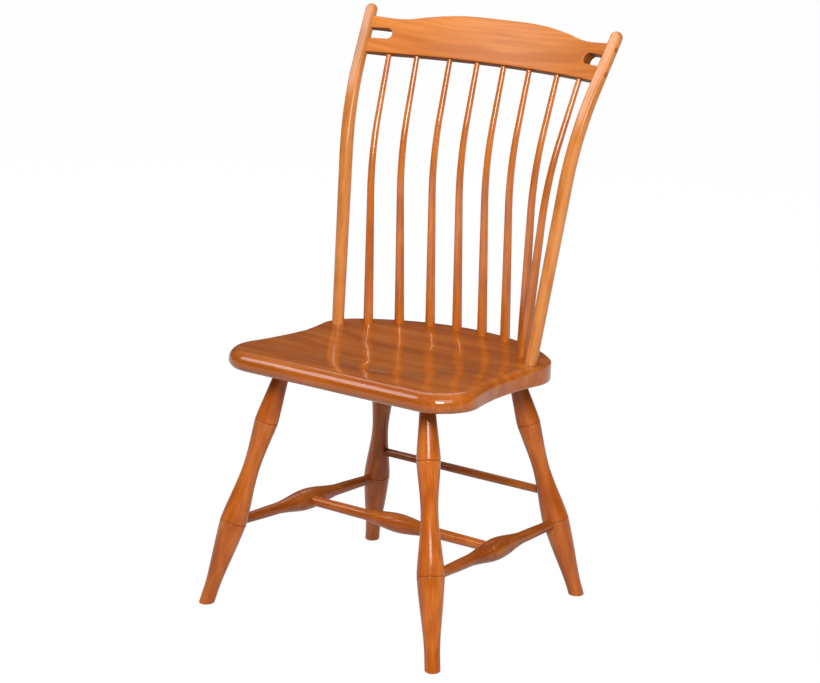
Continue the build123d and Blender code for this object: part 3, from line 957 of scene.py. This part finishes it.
@dataclass
class Plate:
    """Board with rounded edges: an outline, the rounding of its edges, and the way to its place.

    The first face lies at depth 0 or at the depth that the hollow gives, the second at the thickness.
    """

    outline: np.ndarray
    first_round: np.ndarray
    second_round: np.ndarray
    thickness: float
    place_points: Callable[[np.ndarray, np.ndarray], np.ndarray]
    hollow: Callable[[np.ndarray], np.ndarray] = field(default=lambda flat: np.zeros(len(flat)))
    spacing: float = 6.0
    steps: int = 6
    # Share of the spacing that the filling keeps from the loop, and how near points count as one
    loop_clear: float = 0.6
    fill_merge: float = 1e-5
    merge: float = 0.01

    def normals(self) -> np.ndarray:
        """Outward directions along the outline, halfway between both sides at a corner.

        Returns:
            A direction for each place of the outline.
        """
        ahead = np.roll(self.outline, -1, axis=0) - self.outline
        ahead /= np.linalg.norm(ahead, axis=1)[:, None]
        ahead = ahead + np.roll(ahead, 1, axis=0)
        ahead /= np.linalg.norm(ahead, axis=1)[:, None]
        return np.stack([ahead[:, 1], -ahead[:, 0]], axis=-1)

    def filling(self, loop: np.ndarray) -> tuple[np.ndarray, np.ndarray]:
        """Fill a loop with even triangles.

        Args:
            loop: Corners in order.

        Returns:
            Points and triangles.
        """
        low, high = loop.min(axis=0), loop.max(axis=0)
        counts = np.ceil((high - low) / self.spacing).astype(int)
        steps = (np.linspace(low[k], high[k], counts[k] + 1) for k in (0, 1))
        grid = np.stack(np.meshgrid(*steps), -1).reshape(-1, 2)
        following = np.roll(loop, -1, axis=0)
        above = (loop[:, 1] > grid[:, 1:]) != (following[:, 1] > grid[:, 1:])
        rise = np.where(following[:, 1] == loop[:, 1], TINY, following[:, 1] - loop[:, 1])
        meet = loop[:, 0] + (grid[:, 1:] - loop[:, 1]) / rise * (following[:, 0] - loop[:, 0])
        inside = (above & (grid[:, :1] < meet)).sum(axis=1) % 2 == 1
        gap = np.linalg.norm(grid[:, None] - loop[None], axis=2).min(axis=1)
        grid = grid[inside & (gap > self.loop_clear * self.spacing)]
        corners = [Vector(p) for p in np.concatenate([loop, grid])]
        points, _, faces, *_ = delaunay_2d_cdt(corners, [], [list(range(len(loop)))], INSIDE_LOOP,
                                               self.fill_merge)
        return np.array([p[:] for p in points]), np.array(faces)

    def mesh(self, name: str) -> tuple[bpy.types.Mesh, np.ndarray]:
        """Make the mesh, without a material.

        Args:
            name: Name of the mesh.

        Returns:
            The mesh in metres, and the place of each vertex in the board: across, up and deep.
        """
        normals, count = self.normals(), len(self.outline)
        turns = [math.pi / 2 * k / self.steps for k in range(self.steps + 1)]
        rings = [(self.first_round * (1 - math.sin(a)), self.first_round * (1 - math.cos(a))) for a in turns]
        rings += [(self.second_round * (1 - math.cos(a)),
                   self.thickness - self.second_round * (1 - math.sin(a))) for a in turns]
        flats = [self.outline - normals * inset[:, None] for inset, _ in rings]
        depths = [depth for _, depth in rings]
        faces: list[list[int]] = []
        for k in range(len(rings) - 1):
            for i in range(count):
                j = (i + 1) % count
                faces.append([k * count + i, (k + 1) * count + i, (k + 1) * count + j, k * count + j])
        total = count * len(rings)
        for ring, flip in ((0, False), (len(rings) - 1, True)):
            points, triangles = self.filling(flats[ring])
            depth = np.full(len(points), self.thickness) if flip else self.hollow(points)
            flats.append(points)
            depths.append(depth)
            order = triangles[:, ::-1] if flip else triangles
            faces.extend((order + total).tolist())
            total += len(points)
        flat, deep = np.concatenate(flats), np.concatenate(depths)
        points = (self.place_points(flat, deep) + ROW_SHIFT) * MM
        made = bpy.data.meshes.new(name)
        made.from_pydata(points.tolist(), [], faces)
        store(made, "flat", np.concatenate([flat, deep[:, None]], axis=1))
        shape = bmesh.new()
        shape.from_mesh(made)
        bmesh.ops.remove_doubles(shape, verts=shape.verts, dist=self.merge * MM)
        bmesh.ops.recalc_face_normals(shape, faces=shape.faces)
        shape.to_mesh(made)
        shape.free()
        made.shade_smooth()
        board = np.zeros(len(made.vertices) * 3)
        made.attributes["flat"].data.foreach_get("vector", board)
        made.attributes.remove(made.attributes["flat"])
        return made, board.reshape(-1, 3)


def lay_grain(mesh: bpy.types.Mesh, board: np.ndarray, cut: Triple) -> None:
    """Run the grain of a board from side to side.

    Args:
        mesh: Mesh of the piece.
        board: Place of each vertex in the board: across, up and deep.
        cut: Where in the tree the board was cut: across, through and along the grain.
    """
    across, up, deep = board.T
    store(mesh, "grain", np.stack([up + cut[0], cut[1] - deep, across + cut[2]], axis=-1) * MM)


@dataclass
class Seat:
    """Plank seat, glued up from boards that run from side to side, with a dished top and a shaped edge."""

    finish: bpy.types.Material
    height: float = 448.5
    fall: float = math.radians(1.9)
    thickness: float = 33.0
    front: float = 206.0
    back: float = 220.0
    wing: Pair = (252.5, -137.0)
    waist: Pair = (231.5, 6.0)
    lobe: Pair = (237.5, 82.0)
    lobe_radius: float = 76.0
    boards: int = 5
    dish_depth: float = 8.0
    dish_reach: Pair = (196.0, 166.0)
    dish_place: float = -6.0
    dish_power: float = 2.7
    # Share of the dish that is level
    dish_flat: float = 0.42
    # Rounding of the upper and the lower edge, at places from the front to the back
    top_round: tuple[Pair, ...] = ((-165.0, 19.0), (-60.0, 14.0), (10.0, 13.0), (75.0, 3.5))
    under_round: tuple[Pair, ...] = ((-185.0, 12.5), (-110.0, 4.0))
    # Where in the tree the boards were cut: across, through and along the grain
    cut: Triple = (300.0, 40.0, 0.0)
    step: float = 3.5

    def top(self, x: float, y: float) -> np.ndarray:
        """Point on the top of the blank above a place in plan."""
        return np.array([x, y, self.height - y * math.tan(self.fall)])

    @property
    def under(self) -> float:
        """Height of the underside at the middle."""
        return self.height - self.thickness / math.cos(self.fall)

    def outline(self) -> np.ndarray:
        """Outline of the seat, counter-clockwise: a straight front and arcs tangent to each other.

        Returns:
            Places in the plane of the top.
        """
        wing, waist, lobe = (np.array(p) for p in (self.wing, self.waist, self.lobe))
        wing_radius = self.front + wing[1]
        wing_centre = wing - [wing_radius, 0.0]
        dx, dy = waist - wing_centre
        hollow_radius = (dx ** 2 + dy ** 2 - wing_radius ** 2) / (2 * (wing_radius - dx))
        hollow_centre = waist + [hollow_radius, 0.0]
        dx, dy = lobe - waist
        waist_radius = (dx ** 2 + dy ** 2) / (2 * dx) - self.lobe_radius
        waist_centre = waist + [waist_radius, 0.0]
        lobe_centre = lobe - [self.lobe_radius, 0.0]
        dy = lobe_centre[1] - self.back
        back_radius = -(lobe_centre[0] ** 2 + dy ** 2 - self.lobe_radius ** 2) / (2 * (dy + self.lobe_radius))
        back_centre = np.array([0.0, self.back - back_radius])
        corner = np.array([wing_centre[0], -self.front])
        wing_end = wing_centre + unit(hollow_centre - wing_centre) * wing_radius
        lobe_start = lobe_centre + unit(waist_centre - lobe_centre) * self.lobe_radius
        lobe_end = back_centre + unit(lobe_centre - back_centre) * back_radius
        flat = np.linspace([0.0, -self.front], corner, math.ceil(corner[0] / self.step), endpoint=False)
        runs = [flat]
        for centre, start, finish in ((wing_centre, corner, wing_end), (hollow_centre, wing_end, waist),
                                      (waist_centre, waist, lobe_start), (lobe_centre, lobe_start, lobe_end),
                                      (back_centre, lobe_end, np.array([0.0, self.back]))):
            first, last = (math.atan2(*(p - centre)[::-1]) for p in (start, finish))
            sweep = (last - first + math.pi) % (2 * math.pi) - math.pi
            radius = np.linalg.norm(start - centre)
            count = math.ceil(abs(sweep) * radius / self.step)
            turns = first + sweep * np.arange(count) / count
            runs.append(centre + radius * np.stack([np.cos(turns), np.sin(turns)], axis=-1))
        right = np.concatenate(runs + [np.array([[0.0, self.back]])])
        left = right[-2:0:-1] * [-1.0, 1.0]
        return np.concatenate([right, left])

    def hollow(self, flat: np.ndarray) -> np.ndarray:
        """Depth of the dish.

        Args:
            flat: Places in the plane of the top.

        Returns:
            Depths below that plane.
        """
        x = np.abs(flat[:, 0]) / self.dish_reach[0]
        y = np.abs(flat[:, 1] - self.dish_place) / self.dish_reach[1]
        far = (x ** self.dish_power + y ** self.dish_power) ** (1 / self.dish_power)
        return self.dish_depth * (1 - smooth((far - self.dish_flat) / (1 - self.dish_flat)))

    def place_points(self, flat: np.ndarray, depth: np.ndarray) -> np.ndarray:
        """Carry places in the plane of the top to the chair.

        Args:
            flat: Places in the plane.
            depth: Distances below it.

        Returns:
            Points.
        """
        along = np.array([0.0, math.cos(self.fall), -math.sin(self.fall)])
        down = -np.array([0.0, math.sin(self.fall), math.cos(self.fall)])
        origin = np.array([0.0, 0.0, self.height])
        return origin + flat[:, :1] * [1.0, 0.0, 0.0] + flat[:, 1:] * along + depth[:, None] * down

    def build(self) -> None:
        """Make the seat as one piece in place of its boards."""
        edge = self.outline()
        top_round, under_round = (np.interp(edge[:, 1], *zip(*rounds))
                                  for rounds in (self.top_round, self.under_round))
        plate = Plate(edge, top_round, under_round, self.thickness, self.place_points, self.hollow)
        mesh, board = plate.mesh("plank_seat")
        lay_grain(mesh, board, self.cut)
        mesh.materials.append(self.finish)
        seat_piece(put("plank_seat", mesh), [f"seat_board_{i + 1}" for i in range(self.boards)])


@dataclass
class NodePlugs:
    """Geometry nodes that set a curved wooden plug on each point, flush with a round post."""

    facets: int = 32
    side_steps: int = 2
    cap_steps: int = 5

    def __post_init__(self) -> None:
        """Build the tree."""
        inputs = {"Points": "Geometry", "Plug radius": "Float", "Post radius": "Float", "Depth": "Float",
                  "Finish": "Material"}
        tree = self.tree = bare_tree("plug_setting", inputs, "Plugs")
        given = add(tree, "NodeGroupInput").outputs
        plug = add(tree, "GeometryNodeMeshCylinder",
                   {"Vertices": self.facets, "Side Segments": self.side_steps,
                    "Fill Segments": self.cap_steps, "Radius": given["Plug radius"], "Depth": given["Depth"]},
                   fill_type="TRIANGLE_FAN")

        # Bend the plug to the round of the post
        here = add(tree, "GeometryNodeInputPosition")
        x = add(tree, "ShaderNodeSeparateXYZ", {0: here}).outputs[0]
        radius = given["Post radius"]
        inner = add(tree, "ShaderNodeMath", {0: radius, 1: radius}, operation="MULTIPLY")
        square = add(tree, "ShaderNodeMath", {0: x, 1: x}, operation="MULTIPLY")
        inner = add(tree, "ShaderNodeMath", {0: inner, 1: square}, operation="SUBTRACT")
        reach = add(tree, "ShaderNodeMath", {0: inner}, operation="SQRT")
        fall = add(tree, "ShaderNodeMath", {0: reach, 1: radius}, operation="SUBTRACT")
        shift = add(tree, "ShaderNodeCombineXYZ", {2: fall})
        marked = add(tree, "GeometryNodeStoreNamedAttribute",
                     {"Geometry": plug, "Name": "grain", "Value": here},
                     data_type="FLOAT_VECTOR", domain="POINT")
        bent = add(tree, "GeometryNodeSetPosition", {"Geometry": marked, "Offset": shift})

        # Set one on each point, turned outward
        outward, upward = (
            add(tree, "GeometryNodeInputNamedAttribute", {"Name": word}, data_type="FLOAT_VECTOR")
            for word in ("outward", "upward"))
        turn = add(tree, "FunctionNodeAxesToRotation", {0: outward, 1: upward}, primary_axis="Z",
                   secondary_axis="Y")
        points = add(tree, "GeometryNodeMeshToPoints", {"Mesh": given["Points"]})
        placed = add(tree, "GeometryNodeInstanceOnPoints",
                     {"Points": points, "Instance": bent, "Rotation": turn})
        made = add(tree, "GeometryNodeRealizeInstances", {"Geometry": placed})
        made = add(tree, "GeometryNodeSetMaterial", {"Geometry": made, "Material": given["Finish"]})
        add(tree, "NodeGroupOutput", {0: made})


@dataclass
class Back:
    """Two bent posts, a crest rail between them, and bent spindles under the rail."""

    post_finish: bpy.types.Material
    spindle_finish: bpy.types.Material
    crest_finish: bpy.types.Material
    plug_finish: bpy.types.Material
    sweep: NodeSweep
    seat: Seat
    crest: CrestBoard = field(default_factory=CrestBoard)
    post_inset: float = 26.4
    post_spread: float = 262.3
    post_over_crest: float = 68.5
    post_behind_crest: float = 7.5
    post_straight: float = 306.0
    post_bend: float = 508.0
    post_turn: float = math.radians(19.0)
    post_tenon: float = 18.0
    post_radii: Triple = (10.8, 12.0, 10.8)
    # First angle, last angle and steps of the rounded top
    post_dome: tuple[float, float, int] = (12.0, 88.0, 10)
    shave_start: float = 250.0
    shave_middle: Pair = (400.0, 8.6)
    shave_top_left: float = 6.6
    spindle_bases: tuple[Pair, ...] = ((27.6, 28.2), (82.6, 35.0), (135.0, 57.3), (170.6, 102.0))
    spindle_tops: tuple[float, ...] = (28.2, 84.7, 149.5, 202.3)
    spindle_straight: float = 235.0
    spindle_bend: float = 504.0
    spindle_turn: float = math.radians(16.0)
    spindle_radii: Triple = (9.0, 6.6, 4.8)
    spindle_tenons: Pair = (18.0, 13.0)
    arm_heights: Pair = (11.7, 50.6)
    arm_in_post: float = 8.0
    plug_radius: float = 4.8
    plug_depth: float = 3.0
    plug_proud: float = 0.15
    # Where in the tree each was cut, and how far apart the spindles lay in it, across and along
    post_cut: Triple = (38.0, 30.0, 2000.0)
    spindle_cut: Triple = (26.0, 33.0, 150.0)
    spindle_apart: Pair = (9.0, 700.0)
    crest_cut: Triple = (-20.0, 60.0, 900.0)
    step: float = 7.0

    def post_line(self, side: Side) -> BentLine:
        """Axis of a post.

        Args:
            side: Side of the chair.

        Returns:
            The line.
        """
        crest = self.crest
        base = self.seat.top(self.seat.lobe[0] - self.post_inset, self.seat.lobe[1])
        back = (crest.place + self.post_over_crest * math.tan(crest.lean) - float(crest.sag(self.post_spread))
                + self.post_behind_crest)
        top = np.array([self.post_spread, back, crest.low + self.post_over_crest])
        across = np.array([side.value, 1.0, 1.0])
        return BentLine(base * across, top * across, self.post_straight, self.post_bend, self.post_turn)

    def shave_left(self, s: float, length: float) -> float:
        """Wood left in front of a post's axis.

        Args:
            s: Distance from the base.
            length: Length of the axis.

        Returns:
            Distance from the axis to the shaved front.
        """
        middle, left = self.shave_middle
        places = (self.shave_start, middle, length + self.post_radii[2])
        return float(np.interp(s, places, (self.post_radii[1], left, self.shave_top_left)))

    def post(self, side: Side) -> bpy.types.Object:
        """Bend a post, shave its front and round its top.

        Args:
            side: Side of the chair.

        Returns:
            The post.
        """
        line, (low, middle, top) = self.post_line(side), self.post_radii
        axis = StickAxis()
        count = math.ceil((line.length + self.post_tenon) / self.step)
        for s in np.linspace(-self.post_tenon, line.length, count):
            radius = float(np.interp(s, (0.0, self.post_straight, line.length), (low, middle, top)))
            axis.point(*line.at(s), s, radius, self.shave_left(s, line.length))
        for turn in np.radians(np.linspace(*self.post_dome)):
            s = line.length + top * math.sin(turn)
            axis.point(*line.at(s), s, top * math.cos(turn), self.shave_left(s, line.length))
        return self.sweep.sweep(f"bent_post_{side.word}", axis, self.post_finish,
                                np.array(self.post_cut) * [side.value, 1, 1])

    def spindle(self, number: int, side: Side, name: str) -> bpy.types.Object:
        """Bend a spindle.

        Args:
            number: Place in the row, from the middle out.
            side: Side of the chair.
            name: Name of the piece.

        Returns:
            The spindle.
        """
        crest, (across, inset), x = self.crest, self.spindle_bases[number], self.spindle_tops[number]
        base = self.seat.top(across, self.seat.back - inset)
        flat = crest.on_board(np.array([x]), np.array([0.0]))
        top = crest.place_points(flat, np.array([crest.thickness / 2]))[0]
        mirrored = np.array([side.value, 1.0, 1.0])
        line = BentLine(base * mirrored, top * mirrored, self.spindle_straight, self.spindle_bend,
                        self.spindle_turn)
        below, above = self.spindle_tenons
        axis = StickAxis()
        count = math.ceil((line.length + below + above) / self.step)
        for s in np.linspace(-below, line.length + above, count):
            radius = float(np.interp(s, (0.0, self.spindle_straight, line.length), self.spindle_radii))
            axis.point(*line.at(s), s, radius)
        (across, through, along), (next_across, next_along) = self.spindle_cut, self.spindle_apart
        cut = (across + next_across * number, through * side.value, next_along * number + along * side.value)
        return self.sweep.sweep(name, axis, self.spindle_finish, cut)

    def crest_rail(self) -> bpy.types.Object:
        """Shape the crest rail, whose arms end inside the posts.

        Returns:
            The rail.
        """
        crest = self.crest
        outline, rounds = crest.outline(self.post_spread - self.arm_in_post)
        plate = Plate(outline, rounds, rounds, crest.thickness, crest.place_points,
                      spacing=crest.face_spacing, steps=crest.round_steps)
        mesh, board = plate.mesh("crest_board")
        lay_grain(mesh, board, self.crest_cut)
        # Painted shade: the walls of the slots and the lower edge are darkened and left without coat
        rim = crest.slot_round / 2
        across, height, deep = np.abs(board[:, 0]), crest.height(board), board[:, 2]
        near = np.abs(height - crest.slot_height) < crest.slot_width / 2 + rim
        slot = (across > crest.slot_end - rim) & near
        painted_shade_edges = (deep > rim) & (deep < crest.thickness - rim) & (slot | (height < rim))
        store(mesh, "groove", painted_shade_edges.astype(float))
        mesh.materials.append(self.crest_finish)
        return put("crest_board", mesh)

    def plugs(self) -> bpy.types.Object:
        """Set the plugs over the screws, on the outer side of each post.

        Returns:
            The plugs as one piece.
        """
        places, outward, upward = [], [], []
        for side in Side:
            line = self.post_line(side)
            for height in self.arm_heights:
                z = self.crest.low + height
                _, across, front = line.at(line.length)
                s = line.length - (line.top[2] - z) / float(np.cross(across, front)[2])
                place = line.at(s)[0]
                radius = float(np.interp(s, (self.post_straight, line.length), self.post_radii[1:]))
                out = across * (1.0 if across[0] * side.value > 0 else -1.0)
                places.append(place + out * (radius + self.plug_proud - self.plug_depth / 2))
                outward.append(out)
                upward.append(np.cross(out, front))
        points = bpy.data.meshes.new("post_plugs")
        points.from_pydata(((np.array(places) + ROW_SHIFT) * MM).tolist(), [], [])
        store(points, "outward", np.array(outward))
        store(points, "upward", np.array(upward))
        values = {"Plug radius": self.plug_radius * MM, "Post radius": self.post_radii[2] * MM,
                  "Depth": self.plug_depth * MM, "Finish": self.plug_finish}
        return grow("post_plugs", points, NodePlugs().tree, values)

    def build(self) -> None:
        """Make the posts, the crest rail, the spindles and the plugs."""
        for side in Side:
            seat_piece(self.post(side), [f"back_post_{side.word}"])
            for number in range(len(self.spindle_bases)):
                half = len(self.spindle_bases)
                place = half + 1 + number if side is Side.RIGHT else half - number
                spindle = self.spindle(number, side, f"bent_spindle_{place}")
                seat_piece(spindle, [f"spindle_{place}"])
        seat_piece(self.crest_rail(), ["crest_rail"])
        seat_piece(self.plugs(), ["crest_screw_plugs"])


@dataclass(frozen=True)
class Lamp:
    """Soft lamp, placed round the middle of the chair: degrees, metres and watts."""

    name: str
    azimuth: float
    elevation: float
    distance: float
    width: float
    height: float
    power: float


@dataclass
class Studio:
    """Pale floor, soft lamps and the camera."""

    # Camera: millimetres and degrees, with its roll in radians and its far limit in metres
    target: Triple = (0.0, -3.22, 461.6)
    azimuth: float = 37.93
    elevation: float = 15.29
    distance: float = 4452.5
    roll: float = -0.0063
    lens: float = 113.76
    sensor: float = 36.0
    far_clip: float = 200.0
    # Half a side of the floor, in metres
    floor_half: float = 40.0
    floor_grey: str = "#B0B0B0"
    # Share of the white that the camera sees on the floor, and its strength; the rest keeps the shadow
    floor_share: float = 0.9
    floor_white: float = 1.08
    # Where the room turns from wall to ceiling, as the rise of a direction, and the light of each
    room_rise: Pair = (0.35, 0.95)
    room_light: Pair = (0.06, 0.4)
    lamps: tuple[Lamp, ...] = (
        Lamp("key", 56.0, 40.0, 3.4, 2.4, 1.8, 56.0),
        Lamp("strip", 41.0, 31.0, 3.6, 1.2, 1.1, 98.0),
        Lamp("left", -52.0, 40.0, 8.0, 3.0, 3.0, 180.0),
        Lamp("back", 215.0, 48.0, 3.4, 2.0, 1.6, 22.0),
    )

    def direction(self, azimuth: float, elevation: float) -> Vector:
        """Direction from the chair, with azimuth 0 in front of it and 90 on its right.

        Args:
            azimuth: Degrees round the chair.
            elevation: Degrees above the floor.

        Returns:
            Direction of length 1.
        """
        a, e = math.radians(azimuth), math.radians(elevation)
        return Vector((math.sin(a) * math.cos(e), -math.cos(a) * math.cos(e), math.sin(e)))

    def camera(self) -> None:
        """Set the camera where the photograph was taken from."""
        data = bpy.data.cameras.new("camera")
        data.sensor_fit = "HORIZONTAL"
        data.sensor_width = self.sensor
        data.lens = self.lens
        data.clip_end = self.far_clip
        camera = put("camera", data)
        a = math.radians(self.azimuth)
        back = self.direction(self.azimuth, self.elevation)
        right = Vector((math.cos(a), math.sin(a), 0.0))
        up = back.cross(right)
        c, s = math.cos(self.roll), math.sin(self.roll)
        turned = Matrix((c * right - s * up, s * right + c * up, back)).transposed().to_4x4()
        eye = Vector(self.target) * MM + back * self.distance * MM
        camera.matrix_world = Matrix.Translation(eye) @ turned
        bpy.context.scene.camera = camera

    def floor(self) -> None:
        """Lay a pale floor that looks white and keeps the chair's shadow."""
        half = self.floor_half
        corners = [(-half, -half, 0.0), (half, -half, 0.0), (half, half, 0.0), (-half, half, 0.0)]
        mesh = bpy.data.meshes.new("floor")
        mesh.from_pydata(corners, [], [(0, 1, 2, 3)])
        material = bare_material("matt_white_paper")
        tree = material.node_tree
        light = add(tree, "ShaderNodeLightPath").outputs
        seen = light["Is Camera Ray"]
        for ray in ("Is Glossy Ray", "Is Transmission Ray"):
            seen = add(tree, "ShaderNodeMath", {0: seen, 1: light[ray]}, operation="MAXIMUM").outputs[0]
        share = add(tree, "ShaderNodeMath", {0: seen, 1: self.floor_share}, operation="MULTIPLY")
        matt = add(tree, "ShaderNodeBsdfDiffuse", {"Color": linear(self.floor_grey)})
        white = add(tree, "ShaderNodeEmission", {"Color": linear("#FFFFFF"), "Strength": self.floor_white})
        mixed = add(tree, "ShaderNodeMixShader", {0: share, 1: matt, 2: white})
        add(tree, "ShaderNodeOutputMaterial", {"Surface": mixed})
        mesh.materials.append(material)
        floor = put("floor", mesh)

    def sky(self) -> None:
        """Light the room: dim walls and a brighter ceiling."""
        world = bpy.data.worlds.new("room")
        world.use_nodes = True
        tree = world.node_tree
        tree.nodes.clear()
        way = add(tree, "ShaderNodeTexCoord").outputs["Generated"]
        rise = add(tree, "ShaderNodeSeparateXYZ", {0: way}).outputs[2]
        (low, high), (wall, ceiling) = self.room_rise, self.room_light
        level = add(tree, "ShaderNodeMapRange", {0: rise, 1: low, 2: high, 3: wall, 4: ceiling})
        glow = add(tree, "ShaderNodeBackground", {"Color": linear("#FFFFFF"), "Strength": level})
        add(tree, "ShaderNodeOutputWorld", {"Surface": glow})
        bpy.context.scene.world = world

    def light(self) -> None:
        """Hang the lamps."""
        target = Vector(self.target) * MM
        for lamp in self.lamps:
            data = bpy.data.lights.new(lamp.name, "AREA")
            data.shape = "RECTANGLE"
            data.size, data.size_y, data.energy = lamp.width, lamp.height, lamp.power
            placed = put(lamp.name, data)
            way = self.direction(lamp.azimuth, lamp.elevation)
            placed.location = target + way * lamp.distance
            placed.rotation_euler = way.to_track_quat("Z", "Y").to_euler()

    def build(self) -> None:
        """Set up the studio."""
        self.floor()
        self.sky()
        self.light()
        self.camera()
        bpy.context.scene.view_settings.view_transform = "Standard"


def main() -> None:
    """Build the chair and the studio."""
    logging.basicConfig(level=logging.INFO, format="%(name)s: %(message)s")
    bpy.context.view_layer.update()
    sweep = NodeSweep()
    # Turned on a lathe: the streaks run the length of the leg and part round its swellings
    leg = LacqueredWood("stained_cherry_turned", "#BC6826", "#AE5718", "#9C4A12",
                        stain_and_shade_share=0.55).material()
    # The legs' turned wood made darker: painted shade on the side and rear stretchers under the seat
    bar = LacqueredWood("stained_cherry_turned_dark", "#A25A20", "#944A14", "#823C0E",
                        stain_and_shade_share=0.55).material()
    # Bent, then shaved flat in front: even, tan, with a line of light along the corner of the flat
    post = LacqueredWood("stained_cherry_shaved", "#CA8246", "#C0773A", "#B06828", coat=0.6).material()
    # Rounded by hand and bent: a broad sheen down each stick
    spindle = LacqueredWood("stained_cherry_bent", "#C06E2A", "#B6621F", "#A65516", coat=0.8,
                            coat_ior=1.7).material()
    # Sawn to its bend and sanded: rings show as long flames under a soft sheen
    # Its slot walls and lower edge take the darker colour, as painted shade
    sawn = LacqueredWood("stained_cherry_sawn", "#D0803C", "#C47232", "#B46426", stain_and_shade_share=0.85,
                         drift=(26.0, 240.0), ring_share=0.08, coat=0.35, coat_roughness=0.3).material()
    # Planed, dished and rubbed out: the glossiest part, which mirrors the spindles
    plank = LacqueredWood("stained_cherry_planed", "#B26320", "#A65515", "#984A0F", drift=(22.0, 240.0),
                          ring_share=0.08, coat=0.8, coat_roughness=0.09, wave=0.8).material()
    # Cut across the grain: close dark rings that drink the stain
    plug = LacqueredWood("stained_cherry_end_grain", "#A85C2A", "#985024", "#84421C",
                         ring_spacing=1.6).material()
    seat = Seat(plank)
    seat.build()
    Undercarriage(leg, bar, sweep, seat.under, seat.fall).build()
    Back(post, spindle, sawn, plug, sweep, seat).build()
    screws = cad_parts["crest_screws"]
    screws.data.materials.clear()
    screws.data.materials.append(ScrewSteel().material())
    Studio().build()


if __name__ == "__main__":
    main()
